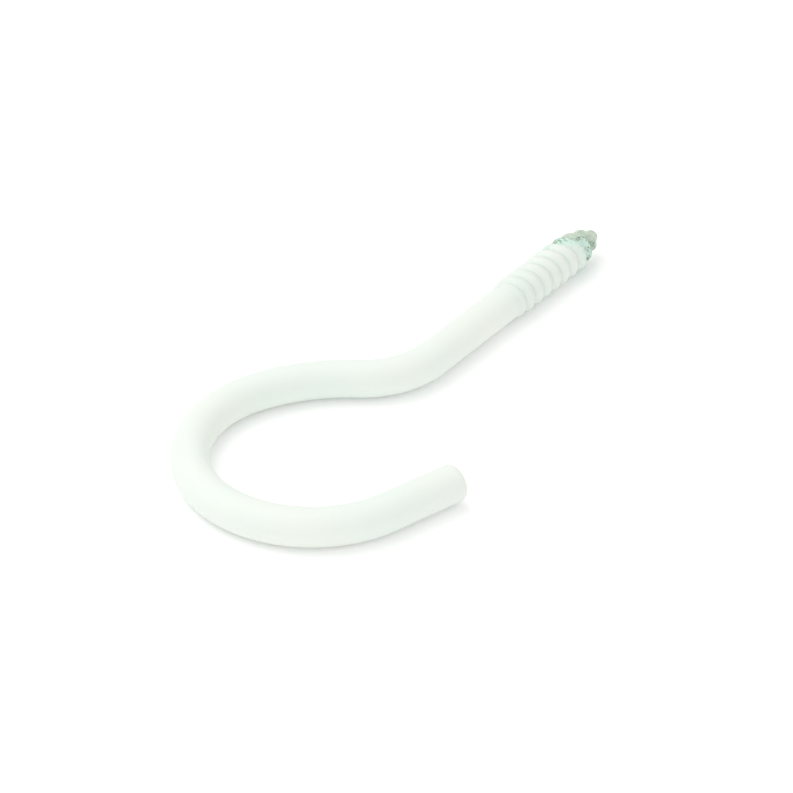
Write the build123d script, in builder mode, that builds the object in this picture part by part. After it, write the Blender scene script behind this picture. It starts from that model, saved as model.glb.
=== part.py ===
from build123d import *
import os
from math import atan, cos, degrees, radians, tan

# Clothesline hook: one bent steel rod with a wood-screw thread, dipped in thick vinyl.
# The screw's axis is +Y towards its point, the hook opens towards +X, and +Z is up from
# the surface that the hook lies on. The origin is on the screw's axis where the thread
# starts. Lengths are in millimetres and angles in degrees.

# Rod and its bends, in order from the thread to the free end
wire_diameter = 7.5
shank_length = 27.5
neck_radius = 19.0
neck_angle = 57.0
shoulder_radius = 39.0
shoulder_angle = 33.0
bowl_radius = 26.0
bowl_angle = 187.0
lip_length = 17.0
wire_end_chamfer = 0.6

# Wood-screw thread, seven turns to the inch
thread_pitch = 3.63
thread_diameter = 8.8
root_diameter = 6.2
full_turns = 7
thread_start_angle = 234.0
crest_width = 0.5
flank_angle = 30.0

# Gimlet point, which ends in a blunt nub
point_angle = 14.0
point_turns = 1.75
nub_diameter = 3.4
nub_length = 3.2

# Vinyl coating, which softens the thread and stops on a slant short of the point
coat_thickness = 0.4
coat_crest_cover = 0.35
coat_valley_depth = 0.45
coat_ridge_width = 3.3
coat_point_turns = 1.25
coat_end_rounding = 1.6
coat_edge_position = 28.5
coat_edge_slant = 40.0

# How far a ridge's section reaches below the surface that it stands on
ridge_embedding = 0.3
# How far the coat's ridge stands clear of the outline that trims its two ends
trim_clearance = 0.1
# How far below the rod's surface the first turn of the steel thread starts
run_in_sink = 0.2

wire_radius = wire_diameter / 2
thread_radius = thread_diameter / 2
root_radius = root_diameter / 2
nub_radius = nub_diameter / 2
coat_radius = wire_radius + coat_thickness
coat_crest_radius = thread_radius + coat_crest_cover
coat_valley_radius = coat_crest_radius - coat_valley_depth

run_in_length = thread_pitch
full_thread_length = full_turns * thread_pitch
point_start = run_in_length + full_thread_length
point_slope = tan(radians(point_angle))
point_thread_length = point_turns * thread_pitch
coat_point_length = coat_point_turns * thread_pitch
nub_start = point_start + point_thread_length
tip_position = nub_start + nub_length


# One stretch of a ridge that winds round the screw's axis, from a whole number of turns. The
# middle of its crest follows a helix from crest_radius, which grows along the axis where
# cone_angle is positive.
def helical_ridge(profile, start, length, crest_radius, cone_angle=0):
    slant_pitch = thread_pitch / cos(radians(cone_angle))
    with BuildPart() as ridge:
        with BuildLine() as crest:
            Helix(slant_pitch, length, crest_radius, (0, start, 0), (0, 1, 0), cone_angle)
        crest_start = crest.line @ 0
        outward = (crest_start.X, 0, crest_start.Z)
        with BuildSketch(Plane(crest_start, x_dir=outward, z_dir=crest.line % 0)):
            add(profile)
        sweep(path=crest.line, is_frenet=True)
    return ridge.part


# The whole ridge: a first turn that rises out of the shank, the full turns, and the turns
# that follow the point down.
def screw_ridges(profile, run_in_radius, crest_radius, point_length):
    run_in_angle = degrees(atan((crest_radius - run_in_radius) / run_in_length))
    return [
        helical_ridge(profile, 0, run_in_length, run_in_radius, run_in_angle),
        helical_ridge(profile, run_in_length, full_thread_length, crest_radius),
        helical_ridge(profile, point_start, point_length, crest_radius, -point_angle),
    ]


# Centreline of the rod, from the thread to the free end
with BuildLine() as rod_line:
    shank = Line((0, 0), (0, -shank_length))
    neck = JernArc(shank @ 1, shank % 1, neck_radius, -neck_angle)
    shoulder = JernArc(neck @ 1, neck % 1, shoulder_radius, shoulder_angle)
    bowl = JernArc(shoulder @ 1, shoulder % 1, bowl_radius, bowl_angle)
    lip = Line(bowl @ 1, bowl @ 1 + (bowl % 1) * lip_length)
free_end = Plane(lip @ 1, z_dir=lip % 1)

# Section of the steel thread: a trapezoid, with the middle of its crest at the origin
ridge_depth = thread_radius - root_radius + ridge_embedding
crest_half_width = crest_width / 2
base_half_width = crest_half_width + ridge_depth * tan(radians(flank_angle))
with BuildSketch() as steel_ridge_profile:
    with BuildLine():
        Polyline(
            (0, -crest_half_width),
            (0, crest_half_width),
            (-ridge_depth, base_half_width),
            (-ridge_depth, -base_half_width),
            close=True,
        )
    make_face()

# Core of the screw, with its ridge and its blunt point
groove_radius = root_radius - point_thread_length * point_slope
steel_ridges = screw_ridges(
    steel_ridge_profile.sketch, wire_radius - run_in_sink, thread_radius, point_thread_length
)
with BuildPart() as steel_screw:
    with BuildSketch(Plane.XY):
        with BuildLine():
            core_side = Polyline(
                (0, 0),
                (wire_radius, 0),
                (root_radius, run_in_length / 2),
                (root_radius, point_start),
                (groove_radius, nub_start),
                (nub_radius, nub_start + nub_radius / 2),
                (nub_radius, tip_position - nub_radius),
            )
            JernArc(core_side @ 1, (0, 1), nub_radius, 90)
            Line((0, tip_position), (0, 0))
        make_face()
    revolve(axis=Axis.Y)
    for ridge in steel_ridges:
        add(ridge)

# Steel rod, which ends in the screw
with BuildPart() as steel_hook:
    with BuildSketch(Plane.XZ):
        Circle(wire_radius)
    sweep(path=rod_line.line)
    end_face = steel_hook.faces().sort_by_distance(free_end.origin)[0]
    chamfer(end_face.edges(), wire_end_chamfer)
    add(steel_screw.part.rotate(Axis.Y, thread_start_angle))
steel_hook.part.label = "steel_hook"

# Section of the coat's ridge: a low arch, with the middle of its crest at the origin
coat_ridge_half_width = coat_ridge_width / 2
coat_ridge_base = coat_valley_depth + ridge_embedding
with BuildSketch() as coat_ridge_profile:
    with BuildLine():
        ridge_sides = Polyline(
            (-coat_valley_depth, coat_ridge_half_width),
            (-coat_ridge_base, coat_ridge_half_width),
            (-coat_ridge_base, -coat_ridge_half_width),
            (-coat_valley_depth, -coat_ridge_half_width),
        )
        ThreePointArc(ridge_sides @ 1, (0, 0), ridge_sides @ 0)
    make_face()

# Ridged sleeve of vinyl over the thread. The ridge is made overlong and trimmed by an outline
# that rises along the first turn and falls along the point.
coat_end = point_start + coat_point_length
trim_radius = coat_crest_radius + trim_clearance
trim_end_radius = trim_radius - coat_point_length * point_slope
coat_ridge = helical_ridge(
    coat_ridge_profile.sketch, -thread_pitch, coat_end + 2 * thread_pitch, coat_crest_radius
)
with BuildPart() as coat_sleeve:
    with BuildSketch(Plane.XZ.offset(thread_pitch)):
        Circle(coat_valley_radius)
    extrude(amount=-coat_end - 2 * thread_pitch)
    add(coat_ridge)
    with BuildSketch(Plane.XY):
        with BuildLine():
            Polyline(
                (0, 0),
                (coat_radius, 0),
                (trim_radius, run_in_length),
                (trim_radius, point_start),
                (trim_end_radius, coat_end),
                (0, coat_end),
                close=True,
            )
        make_face()
    revolve(axis=Axis.Y, mode=Mode.INTERSECT)

# Vinyl skin over the rod, its free end and most of the thread
coat_edge = Plane((0, coat_edge_position, 0), z_dir=(-tan(radians(coat_edge_slant)), 1, 0))
with BuildPart() as vinyl_coating:
    with BuildSketch(Plane.XZ):
        Circle(coat_radius)
    sweep(path=rod_line.line)
    with BuildSketch(free_end):
        Circle(coat_radius)
    extrude(amount=coat_thickness)
    end_face = vinyl_coating.faces().sort_by_distance(free_end.offset(coat_thickness).origin)[0]
    fillet(end_face.edges(), coat_end_rounding)
    add(coat_sleeve.part.rotate(Axis.Y, thread_start_angle))
    with BuildSketch(coat_edge):
        Circle(2 * coat_crest_radius)
    extrude(amount=tip_position, mode=Mode.SUBTRACT)
    add(steel_hook.part, mode=Mode.SUBTRACT)
vinyl_coating.part.label = "vinyl_coating"

os.makedirs("parts", exist_ok=True)
export_step(steel_hook.part, "parts/steel_hook.step")
export_step(vinyl_coating.part, "parts/vinyl_coating.step")
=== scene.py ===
from math import atan, atan2, cos, pi, radians, sin, tan, tau

import bmesh
import bpy
from bpy.props import FloatProperty, FloatVectorProperty, IntProperty, PointerProperty
from mathutils import Matrix, Vector, noise


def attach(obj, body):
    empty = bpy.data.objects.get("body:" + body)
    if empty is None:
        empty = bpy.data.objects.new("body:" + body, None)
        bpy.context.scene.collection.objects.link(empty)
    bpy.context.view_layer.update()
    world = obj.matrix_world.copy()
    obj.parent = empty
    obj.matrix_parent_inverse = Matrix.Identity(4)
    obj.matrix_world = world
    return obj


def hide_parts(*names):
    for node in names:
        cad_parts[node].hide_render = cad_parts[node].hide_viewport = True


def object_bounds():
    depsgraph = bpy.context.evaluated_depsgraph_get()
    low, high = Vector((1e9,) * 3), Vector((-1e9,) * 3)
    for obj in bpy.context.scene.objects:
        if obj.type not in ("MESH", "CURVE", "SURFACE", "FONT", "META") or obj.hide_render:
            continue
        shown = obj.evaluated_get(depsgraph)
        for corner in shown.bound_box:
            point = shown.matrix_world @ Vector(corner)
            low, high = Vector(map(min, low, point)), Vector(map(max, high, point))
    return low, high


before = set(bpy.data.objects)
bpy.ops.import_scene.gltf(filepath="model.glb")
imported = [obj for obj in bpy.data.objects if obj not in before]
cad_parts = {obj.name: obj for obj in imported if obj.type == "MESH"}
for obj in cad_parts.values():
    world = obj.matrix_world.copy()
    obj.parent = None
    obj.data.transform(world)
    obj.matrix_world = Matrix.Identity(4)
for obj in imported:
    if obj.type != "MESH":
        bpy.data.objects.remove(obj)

bl_info = {
    "name": "Coated Clothesline Hook",
    "version": (1, 0, 0),
    "blender": (4, 5, 0),
    "location": "3D View > Sidebar > Hook",
    "description": "Dresses a vinyl-dipped screw hook and lights it on a pale table",
    "category": "Object",
}

CAD_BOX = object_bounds()
# Thinned coating: its cover over the metal, how closely it follows the metal, and its relief
THIN_COVER = 0.00012
THIN_FOLLOW = 0.75
LUMP_SCALE = 1300.0
# Ragged edge: its long and short bites, as a scale of noise and a share of the raggedness
LONG_BITES = (420.0, 1.3)
SHORT_BITES = (1500.0, 0.5)
SHORT_BITES_SHIFT = Vector((7.0, 3.0, 1.0))
# Past its broken edge the skin dives into the steel, over this length and to this depth
EDGE_STEEPNESS = 0.00035
HIDDEN_DEPTH = 0.0004
# Turns up the screw at which the skin starts, hidden in the steel
SKIN_TURNS = 9.5
# Power that narrows the mint tint and painted shade to the middle of each valley
VALLEY_NARROWNESS = 4
# Free end: steps round its rim, rings across its flat face, and the gap between the rings
RIM_STEPS = 8
END_RINGS = 4
END_RING_GAP = 0.0005
# Vertices closer than this are merged
DOUBLE_GAP = 0.000001
# The Mix node's sockets for two colours and for their mix
FIRST_COLOUR = 6
SECOND_COLOUR = 7
MIXED_COLOUR = 2
# Most of a noise lies in this range
NOISE_RANGE = (0.3, 0.7)
# Camera: its sensor in millimetres, and the nearest and farthest that it sees in metres
SENSOR_WIDTH = 36
NEAREST_SEEN = 0.01
FARTHEST_SEEN = 100
SCREW_AXIS = Vector((0, 1, 0))
UP = Vector((0, 0, 1))


def length(name, description, default):
    """A length, in metres."""
    return FloatProperty(
        name=name, description=description, default=default, unit="LENGTH", subtype="DISTANCE", precision=5
    )


def angle(name, description, default):
    """An angle, given in degrees and kept in radians."""
    return FloatProperty(
        name=name, description=description, default=radians(default), unit="ROTATION", subtype="ANGLE"
    )


def colour(name, description, default):
    """A colour, as linear red, green and blue."""
    return FloatVectorProperty(
        name=name, description=description, default=default, size=3, min=0, max=1, subtype="COLOR"
    )


def power(name, description, default):
    """A lamp's power, in watts."""
    return FloatProperty(name=name, description=description, default=default, unit="POWER")


def triple(name, description, default):
    """Three numbers that belong together, such as a point's."""
    return FloatVectorProperty(
        name=name, description=description, default=default, size=3, subtype="XYZ", precision=5
    )


class RodSizes(bpy.types.PropertyGroup):
    """The bent rod, in order from the thread to the free end."""

    coated_radius: length("Coated radius", "Radius of the rod with its vinyl skin", 0.00413)
    shank: length("Shank", "Straight stretch next to the thread", 0.0275)
    neck_radius: length("Neck radius", "Centreline radius of the first bend", 0.019)
    neck_angle: angle("Neck angle", "Turn of the first bend", 57)
    shoulder_radius: length("Shoulder radius", "Centreline radius of the slack bend back", 0.039)
    shoulder_angle: angle("Shoulder angle", "Turn of the slack bend back", 33)
    bowl_radius: length("Bowl radius", "Centreline radius of the bend that holds the line", 0.026)
    bowl_angle: angle("Bowl angle", "Turn of the bend that holds the line", 187)
    lip: length("Lip", "Straight stretch at the free end", 0.0174)
    end_rounding: length("End rounding", "Radius round the rim of the free end", 0.0016)
    around: IntProperty(name="Around", description="Faces round the rod", default=96, min=24)
    along: length("Along", "Length of a face along the rod", 0.001)


class ThreadSizes(bpy.types.PropertyGroup):
    """The coated wood-screw thread and its point."""

    pitch: length("Pitch", "Advance of the thread in one turn", 0.00363)
    start_angle: angle("Start angle", "Where the ridge leaves the shank, seen along the screw", 216)
    crest_radius: length("Crest radius", "Radius over the coated ridges", 0.00473)
    valley_depth: length("Valley depth", "Depth of the valleys in the coating", 0.0007)
    valley_sharpness: FloatProperty(
        name="Valley sharpness",
        description="0 for wavy ridges, 1 for arched ones",
        default=0.5,
        min=0,
        max=1,
    )
    full_turns: IntProperty(name="Full turns", description="Turns of full size", default=7, min=1)
    point_angle: angle("Point angle", "Slope of the crests down the point", 14)
    steel_crest_radius: length("Steel crest radius", "Radius over the bare crests", 0.0044)
    steel_root_radius: length("Steel root radius", "Radius of the bare root", 0.0031)
    steel_crest_width: length("Steel crest width", "Flat on the bare crests", 0.0005)
    flank_angle: angle("Flank angle", "Slope of each bare flank", 30)
    edge_place: length("Edge place", "Where the coating stops, on average", 0.0289)
    edge_reach: length("Edge reach", "How far the edge runs before and after its place", 0.0046)
    edge_side: angle("Edge side", "Side where the coating reaches furthest", 4)
    edge_raggedness: length("Edge raggedness", "Depth of the bites in the edge", 0.0011)
    feather: length("Feather", "Length over which the coating thins to its edge", 0.0105)
    lumps: length("Lumps", "Relief of the thinned coating", 0.00014)
    faces_per_turn: IntProperty(name="Faces per turn", description="Faces in one pitch", default=36, min=8)


class Finishes(bpy.types.PropertyGroup):
    """Colours of the coating and of the plated steel."""

    vinyl: colour("Vinyl", "White of the thick coating", (0.82, 0.882, 0.825))
    vinyl_warm: colour("Warm vinyl", "Warmer white in slow patches", (0.85, 0.89, 0.825))
    # Colour in the thread's valleys: partly a mint tint of the vinyl, partly painted shade that darkens
    # the white there
    valley_mint_and_painted_shade: colour("Vinyl in the valleys", "Mint shade between the ridges", (0.75, 0.84, 0.77))
    vinyl_thin: colour("Thin vinyl", "Tint where the metal shows through", (0.64, 0.83, 0.74))
    vinyl_edge: colour("Vinyl edge", "Stain along the broken edge", (0.33, 0.43, 0.32))
    zinc: colour("Zinc", "Plating on the bare point", (0.70, 0.78, 0.68))
    zinc_dull: colour("Dull zinc", "Tarnish in the plating", (0.54, 0.64, 0.53))


class Studio(bpy.types.PropertyGroup):
    """Table, lamps and camera."""

    table_size: length("Table size", "Side of the pale table", 3.0)
    table: colour("Table", "Colour of the table", (0.93, 0.93, 0.93))
    glow: FloatProperty(name="Glow", description="Light from below the pale table", default=0.13, min=0)
    ambient: FloatProperty(name="Ambient", description="Light from all round", default=0.8, min=0)
    key_power: power("Key power", "Power of the lamp overhead", 2.8)
    key_side: triple("Key side", "Way to the lamp overhead: right, away and up", (-0.45, 0.2, 1))
    fill_power: power("Fill power", "Power of the lamp in front", 0.7)
    fill_side: triple("Fill side", "Way to the lamp in front: right, away and up", (-0.2, -1, 0.9))
    lamp_size: length("Lamp size", "Side of each square lamp", 0.8)
    lamp_distance: length("Lamp distance", "From the target to each lamp", 0.9)
    target: triple("Target", "Point in the middle of the view", (0.0023, -0.04405, 0))
    camera_distance: length("Camera distance", "From the target to the camera", 0.581)
    camera_azimuth: angle("Camera azimuth", "Side that the camera looks from", 35.86)
    camera_height: angle("Camera height", "Camera above the horizon", 34)
    lens: FloatProperty(name="Lens", description="Focal length", default=122.9, unit="CAMERA")


class HookSettings(bpy.types.PropertyGroup):
    """Everything a user would change."""

    rod: PointerProperty(type=RodSizes)
    thread: PointerProperty(type=ThreadSizes)
    finishes: PointerProperty(type=Finishes)
    studio: PointerProperty(type=Studio)


def verts_of(geometry):
    """The vertices among what an operator returns."""
    return [g for g in geometry if isinstance(g, bmesh.types.BMVert)]


def edges_of(geometry):
    """The edges among what an operator returns."""
    return [g for g in geometry if isinstance(g, bmesh.types.BMEdge)]


def steps_for(distance, step):
    """Whole number of faces of about one step along a distance."""
    return max(1, round(distance / step))


def drive_straight(bm, ring, way, distance, step):
    """Extends a ring in a straight line and returns the last ring."""
    steps = steps_for(distance, step)
    made = bmesh.ops.spin(
        bm, geom=ring, cent=(0, 0, 0), axis=UP, dvec=way * (distance / steps), angle=0, steps=steps
    )
    return made["geom_last"]


def drive_bend(bm, ring, centre, turn, distance, step):
    """Carries a ring round a bend and returns the last ring."""
    made = bmesh.ops.spin(bm, geom=ring, cent=centre, axis=UP, angle=turn, steps=steps_for(distance, step))
    return made["geom_last"]


def bent_rod(bm, ring, rod):
    """Takes a ring at the end of the shank along every bend to the free end."""
    place = Vector((0, 0, 0))
    way = -SCREW_AXIS
    ring = drive_straight(bm, ring, way, rod.shank, rod.along)
    place = place + way * rod.shank
    bends = (
        (rod.neck_radius, -rod.neck_angle),
        (rod.shoulder_radius, rod.shoulder_angle),
        (rod.bowl_radius, rod.bowl_angle),
    )
    for radius, turn in bends:
        side = UP.cross(way) * (radius if turn > 0 else -radius)
        centre = place + side
        ring = drive_bend(bm, ring, centre, turn, radius * abs(turn), rod.along)
        turned = Matrix.Rotation(turn, 3, "Z")
        place = centre - turned @ side
        way = turned @ way
    straight_lip = rod.lip - rod.end_rounding
    ring = drive_straight(bm, ring, way, straight_lip, rod.along)
    return ring, place + way * straight_lip, way


def off_crest(point, thread):
    """How far a place is from the nearest crest, from 0 on the crest to 1 in the valley."""
    around = atan2(point.z, point.x) - thread.start_angle
    across = (point.y / thread.pitch + around / tau + 0.5) % 1.0
    return 2 * abs(across - 0.5)


def ease(x):
    """Smooth step from 0 to 1."""
    x = min(max(x, 0.0), 1.0)
    return x * x * (3 - 2 * x)


def point_drop(y, thread):
    """How far the point's slope has fallen at y."""
    start = (thread.full_turns + 1) * thread.pitch
    return max(0.0, y - start) * tan(thread.point_angle)


def steel_radius(point, thread):
    """Radius of the bare thread at a place on the screw."""
    past_flat = (off_crest(point, thread) * thread.pitch - thread.steel_crest_width) / 2
    fall = max(0.0, past_flat) / tan(thread.flank_angle)
    bare = max(thread.steel_crest_radius - fall, thread.steel_root_radius)
    return bare - point_drop(point.y, thread)


def coat_radius(point, rod, thread):
    """Radius of the thick coating at a place on the screw."""
    off = off_crest(point, thread)
    wave = (1 - cos(pi * off)) / 2
    arch = off**2
    notch = thread.valley_depth * (wave + (arch - wave) * thread.valley_sharpness)
    rise = ease(point.y / thread.pitch)
    full = thread.crest_radius - notch * rise - point_drop(point.y, thread)
    return rod.coated_radius + (full - rod.coated_radius) * rise


def edge_distance(point, thread):
    """Distance along the screw from a place to the ragged edge, positive where there is coating."""
    around = atan2(point.z, point.x)
    edge = thread.edge_place + thread.edge_reach * cos(around - thread.edge_side)
    long_scale, long_share = LONG_BITES
    short_scale, short_share = SHORT_BITES
    bites = long_share * noise.noise(point * long_scale)
    bites += short_share * noise.noise(point * short_scale + SHORT_BITES_SHIFT)
    return edge + thread.edge_raggedness * bites - point.y


def hidden_start(thread):
    """Where the skin starts: a ring round the screw's axis, well up the screw."""
    return Matrix.Translation(SCREW_AXIS * SKIN_TURNS * thread.pitch) @ Matrix.Rotation(pi / 2, 4, "X")


def shape_thread(bm, rod, thread):
    """Moves the skin over the screw to its ridges, thins it to the ragged edge and hides the rest."""
    thinness = bm.verts.layers.float["thinness"]
    valley = bm.verts.layers.float["valley"]
    for vert in bm.verts:
        if vert.co.y <= 0:
            continue
        left = edge_distance(vert.co, thread)
        full = coat_radius(vert.co, rod, thread)
        bare = steel_radius(vert.co, thread)
        thin = 1 - ease(left / thread.feather)
        vert[thinness] = thin
        # Valley mask: carries the mint tint and the painted shade into the middle of each valley of the
        # thread
        vert[valley] = off_crest(vert.co, thread) ** VALLEY_NARROWNESS * ease(vert.co.y / thread.pitch)
        lump = thread.lumps * thin * noise.noise(vert.co * LUMP_SCALE)
        worn = full + (bare + THIN_COVER - full) * THIN_FOLLOW * thin**2 + min(0, lump)
        sunk = thread.steel_root_radius - HIDDEN_DEPTH - point_drop(vert.co.y, thread)
        radius = sunk + (worn - sunk) * ease(left / EDGE_STEEPNESS + 1)
        away = Vector((vert.co.x, 0, vert.co.z)).normalized()
        vert.co = Vector((0, vert.co.y, 0)) + away * radius


class HOOK_OT_vinyl_skin(bpy.types.Operator):
    """Makes the vinyl skin over the rod and most of the thread"""

    bl_idname = "hook.vinyl_skin"
    bl_label = "Vinyl Skin"

    def execute(self, context):
        settings = context.scene.hook
        rod, thread = settings.rod, settings.thread
        bm = bmesh.new()
        bm.verts.layers.float.new("thinness")
        bm.verts.layers.float.new("valley")
        made = bmesh.ops.create_circle(
            bm,
            cap_ends=False,
            radius=rod.coated_radius,
            segments=rod.around,
            matrix=hidden_start(thread),
        )
        ring = [*made["verts"], *bm.edges]
        bmesh.ops.contextual_create(bm, geom=edges_of(ring))
        made = bmesh.ops.spin(
            bm,
            geom=ring,
            cent=(0, 0, 0),
            axis=SCREW_AXIS,
            dvec=-SCREW_AXIS * thread.pitch / thread.faces_per_turn,
            angle=-tau * SKIN_TURNS,
            steps=round(SKIN_TURNS * thread.faces_per_turn),
        )
        ring, place, way = bent_rod(bm, made["geom_last"], rod)
        round_end(bm, ring, place, way, rod)
        bmesh.ops.remove_doubles(bm, verts=bm.verts, dist=DOUBLE_GAP)
        shape_thread(bm, rod, thread)
        skin = finished_piece("vinyl_skin", bm, vinyl_finish(settings.finishes))
        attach(skin, "root")
        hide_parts("vinyl_coating")
        return {"FINISHED"}


def round_end(bm, ring, place, way, rod):
    """Rounds the rim of the free end and closes it."""
    for step in range(1, RIM_STEPS + 1):
        slope = step / RIM_STEPS * pi / 2
        before = (step - 1) / RIM_STEPS * pi / 2
        made = bmesh.ops.extrude_edge_only(bm, edges=edges_of(ring))["geom"]
        verts = verts_of(made)
        ring = verts + [e for e in edges_of(made) if all(v in verts for v in e.verts)]
        rise = rod.end_rounding * (sin(slope) - sin(before))
        bmesh.ops.translate(bm, verts=verts, vec=way * rise)
        centre = place + way * rod.end_rounding * sin(slope)
        inner = rod.coated_radius - rod.end_rounding * (1 - cos(slope))
        outer = rod.coated_radius - rod.end_rounding * (1 - cos(before))
        bmesh.ops.scale(bm, verts=verts, vec=(inner / outer,) * 3, space=Matrix.Translation(-centre))
    cap = bmesh.ops.contextual_create(bm, geom=edges_of(ring))["faces"]
    for _ in range(END_RINGS):
        bmesh.ops.inset_individual(bm, faces=cap, thickness=END_RING_GAP)
    bmesh.ops.poke(bm, faces=cap)


def finished_piece(name, bm, material):
    """A smooth object at the origin from a closed mesh."""
    bmesh.ops.recalc_face_normals(bm, faces=bm.faces)
    open_edges = sum(1 for e in bm.edges if len(e.link_faces) != 2)
    if open_edges:
        raise RuntimeError(f"{name} has {open_edges} open edges")
    for face in bm.faces:
        face.smooth = True
    mesh = bpy.data.meshes.new(name)
    bm.to_mesh(mesh)
    bm.free()
    mesh.materials.append(material)
    piece = bpy.data.objects.new(name, mesh)
    bpy.context.scene.collection.objects.link(piece)
    return piece


def node_of(tree, kind, **inputs):
    """A shader node with its sockets set by value."""
    made = tree.nodes.new(kind)
    for key, value in inputs.items():
        made.inputs[key.replace("_", " ")].default_value = value
    return made


def new_finish(name):
    """A material with its node tree and its main shader."""
    material = bpy.data.materials.new(name)
    material.use_nodes = True
    tree = material.node_tree
    return material, tree, tree.nodes["Principled BSDF"]


def object_noise(tree, scale, detail, roughness=0.5):
    """Noise over Object coordinates."""
    place = tree.nodes.new("ShaderNodeTexCoord")
    made = node_of(tree, "ShaderNodeTexNoise", Scale=scale, Detail=detail, Roughness=roughness)
    tree.links.new(place.outputs["Object"], made.inputs["Vector"])
    return made.outputs["Fac"]


def mesh_value(tree, name):
    """A value that the mesh carries at its vertices."""
    made = tree.nodes.new("ShaderNodeAttribute")
    made.attribute_name = name
    return made.outputs["Fac"]


def blend(tree, factor, first, second):
    """A colour mix whose ends are sockets or plain colours."""
    made = tree.nodes.new("ShaderNodeMix")
    made.data_type = "RGBA"
    tree.links.new(factor, made.inputs["Factor"])
    for number, value in ((FIRST_COLOUR, first), (SECOND_COLOUR, second)):
        socket = made.inputs[number]
        if isinstance(value, bpy.types.NodeSocket):
            tree.links.new(value, socket)
        else:
            socket.default_value = (*value, 1)
    return made.outputs[MIXED_COLOUR]


def spread(tree, value, low, high, to_low=0.0, to_high=1.0):
    """Maps a value from one range to another."""
    made = tree.nodes.new("ShaderNodeMapRange")
    made.interpolation_type = "SMOOTHSTEP"
    tree.links.new(value, made.inputs["Value"])
    for name, number in zip(("From Min", "From Max", "To Min", "To Max"), (low, high, to_low, to_high)):
        made.inputs[name].default_value = number
    return made.outputs["Result"]


def weighted(tree, value, weight, offset):
    """value times weight, plus offset."""
    made = tree.nodes.new("ShaderNodeMath")
    made.operation = "MULTIPLY_ADD"
    tree.links.new(value, made.inputs[0])
    made.inputs[1].default_value = weight
    tree.links.new(offset, made.inputs[2])
    return made.outputs["Value"]


def add_bump(tree, shader, height, strength, distance):
    """Gives a shader the relief of a height."""
    bump = node_of(tree, "ShaderNodeBump", Strength=strength, Distance=distance)
    tree.links.new(height, bump.inputs["Height"])
    tree.links.new(bump.outputs["Normal"], shader.inputs["Normal"])


def set_roughness(tree, shader, scale, detail, low, high):
    """Roughness that wanders between two values."""
    wander = spread(tree, object_noise(tree, scale, detail), *NOISE_RANGE, low, high)
    tree.links.new(wander, shader.inputs["Roughness"])


def vinyl_finish(finishes):
    """Thick white vinyl, tinted and stained where it thins over the metal."""
    material, tree, shader = new_finish("white_vinyl_dip")
    slow = spread(tree, object_noise(tree, scale=45, detail=2), low=0.35, high=0.7)
    thick = blend(tree, slow, finishes.vinyl, finishes.vinyl_warm)
    # Mint tint and painted shade in the thread's valleys, darker than the white vinyl
    body = blend(tree, mesh_value(tree, "valley"), thick, finishes.valley_mint_and_painted_shade)
    thinness = mesh_value(tree, "thinness")
    patches = object_noise(tree, scale=700, detail=3, roughness=0.6)
    tint = spread(tree, weighted(tree, patches, weight=0.6, offset=thinness), low=0.45, high=1.1)
    tinted = blend(tree, tint, body, finishes.vinyl_thin)
    specks = object_noise(tree, scale=1700, detail=3, roughness=0.6)
    stain = spread(tree, weighted(tree, specks, weight=1.6, offset=thinness), low=1.62, high=1.9)
    stained = blend(tree, stain, tinted, finishes.vinyl_edge)
    tree.links.new(stained, shader.inputs["Base Color"])
    set_roughness(tree, shader, scale=160, detail=3, low=0.42, high=0.52)
    shader.inputs["IOR"].default_value = 1.5
    shader.inputs["Specular IOR Level"].default_value = 0.25
    shader.inputs["Subsurface Weight"].default_value = 0.15
    shader.inputs["Subsurface Radius"].default_value = (0.0012, 0.0013, 0.0011)
    shader.inputs["Subsurface Scale"].default_value = 1.0
    add_bump(tree, shader, object_noise(tree, scale=320, detail=3), strength=0.25, distance=0.0001)
    return material


def zinc_finish(finishes):
    """Plated steel with a dull, slightly green tarnish."""
    material, tree, shader = new_finish("zinc_plated_steel")
    patches = spread(tree, object_noise(tree, scale=700, detail=5, roughness=0.6), low=0.38, high=0.62)
    plated = blend(tree, patches, finishes.zinc, finishes.zinc_dull)
    tree.links.new(plated, shader.inputs["Base Color"])
    shader.inputs["Metallic"].default_value = 0.6
    set_roughness(tree, shader, scale=1200, detail=4, low=0.45, high=0.65)
    add_bump(tree, shader, object_noise(tree, scale=1500, detail=5), strength=0.5, distance=0.00012)
    return material


def table_finish(studio):
    """Matt white top with a faint glow."""
    material, tree, shader = new_finish("pale_table")
    shader.inputs["Base Color"].default_value = (*studio.table, 1)
    set_roughness(tree, shader, scale=30, detail=2, low=0.8, high=0.9)
    shader.inputs["Specular IOR Level"].default_value = 0.2
    shader.inputs["Emission Color"].default_value = (1, 1, 1, 1)
    shader.inputs["Emission Strength"].default_value = studio.glow
    return material


class HOOK_OT_plated_steel(bpy.types.Operator):
    """Gives the steel rod its plated finish"""

    bl_idname = "hook.plated_steel"
    bl_label = "Plated Steel"

    def execute(self, context):
        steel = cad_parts["steel_hook"]
        steel.data.materials.clear()
        steel.data.materials.append(zinc_finish(context.scene.hook.finishes))
        return {"FINISHED"}


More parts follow.
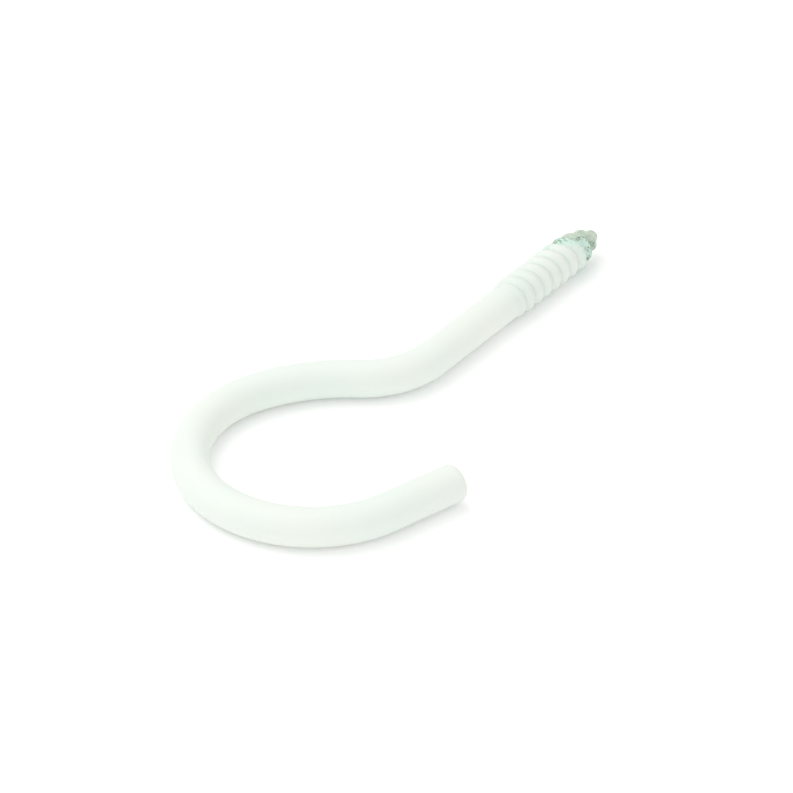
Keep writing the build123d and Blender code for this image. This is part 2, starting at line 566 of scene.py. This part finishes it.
class HOOK_OT_studio(bpy.types.Operator):
    """Sets the table, the lamps and the camera"""

    bl_idname = "hook.studio"
    bl_label = "Studio"

    def execute(self, context):
        settings = context.scene.hook
        studio = settings.studio
        table = self.table(studio, settings.rod, settings.thread)
        self.camera(context, studio)
        self.lamps(context, studio)
        return {"FINISHED"}

    def table(self, studio, rod, thread):
        """A pale top that touches the thread's crests and the underside of the bowl."""
        front = CAD_BOX[0].y + rod.coated_radius
        back = thread.pitch
        slope = atan((thread.crest_radius - rod.coated_radius) / (back - front))
        bm = bmesh.new()
        bmesh.ops.create_grid(bm, x_segments=1, y_segments=1, size=studio.table_size / 2)
        bmesh.ops.rotate(bm, verts=bm.verts, cent=(0, 0, 0), matrix=Matrix.Rotation(-slope, 3, "X"))
        bmesh.ops.translate(bm, verts=bm.verts, vec=(0, back, -thread.crest_radius))
        mesh = bpy.data.meshes.new("table_top")
        bm.to_mesh(mesh)
        bm.free()
        mesh.materials.append(table_finish(studio))
        table = bpy.data.objects.new("table_top", mesh)
        bpy.context.scene.collection.objects.link(table)
        return table

    def camera(self, context, studio):
        """The camera on the side that the photo was taken from."""
        back = Vector(
            (
                sin(studio.camera_azimuth) * cos(studio.camera_height),
                -cos(studio.camera_azimuth) * cos(studio.camera_height),
                sin(studio.camera_height),
            )
        )
        data = bpy.data.cameras.new("product_camera")
        data.lens = studio.lens
        data.sensor_width = SENSOR_WIDTH
        camera = bpy.data.objects.new("product_camera", data)
        camera.rotation_mode = "QUATERNION"
        camera.location = Vector(studio.target) + back * studio.camera_distance
        camera.rotation_quaternion = (-back).to_track_quat("-Z", "Y")
        data.clip_start = NEAREST_SEEN
        data.clip_end = FARTHEST_SEEN
        context.scene.collection.objects.link(camera)
        context.scene.camera = camera

    def lamps(self, context, studio):
        """Even white light from all round, and two large lamps."""
        world = bpy.data.worlds.new("white_tent")
        world.use_nodes = True
        ground = world.node_tree.nodes["Background"]
        ground.inputs["Color"].default_value = (1, 1, 1, 1)
        ground.inputs["Strength"].default_value = studio.ambient
        context.scene.world = world
        self.lamp(context, studio, "key_lamp", studio.key_side, studio.key_power)
        self.lamp(context, studio, "fill_lamp", studio.fill_side, studio.fill_power)
        context.scene.view_settings.view_transform = "Standard"

    def lamp(self, context, studio, name, way_in_view, strength):
        """A square lamp whose way is given as right, away and up for the camera."""
        way = (Matrix.Rotation(studio.camera_azimuth, 3, "Z") @ Vector(way_in_view)).normalized()
        data = bpy.data.lights.new(name, "AREA")
        data.shape = "SQUARE"
        data.size = studio.lamp_size
        data.energy = strength
        lamp = bpy.data.objects.new(name, data)
        lamp.rotation_mode = "QUATERNION"
        lamp.location = Vector(studio.target) + way * studio.lamp_distance
        lamp.rotation_quaternion = (-way).to_track_quat("-Z", "Y")
        context.scene.collection.objects.link(lamp)


class HOOK_PT_panel(bpy.types.Panel):
    """Sidebar panel of the hook"""

    bl_label = "Clothesline Hook"
    bl_space_type = "VIEW_3D"
    bl_region_type = "UI"
    bl_category = "Hook"

    def draw(self, context):
        settings = context.scene.hook
        for step in STEPS:
            self.layout.operator(step.bl_idname)
        for group in (settings.rod, settings.thread, settings.finishes, settings.studio):
            box = self.layout.box()
            for name in group.__annotations__:
                box.prop(group, name)


STEPS = (HOOK_OT_vinyl_skin, HOOK_OT_plated_steel, HOOK_OT_studio)
CLASSES = (RodSizes, ThreadSizes, Finishes, Studio, HookSettings, *STEPS, HOOK_PT_panel)


def register():
    for cls in CLASSES:
        bpy.utils.register_class(cls)
    bpy.types.Scene.hook = PointerProperty(type=HookSettings)


def unregister():
    del bpy.types.Scene.hook
    for cls in reversed(CLASSES):
        bpy.utils.unregister_class(cls)


def main():
    register()
    bpy.ops.hook.vinyl_skin()
    bpy.ops.hook.plated_steel()
    bpy.ops.hook.studio()


if __name__ == "__main__":
    main()
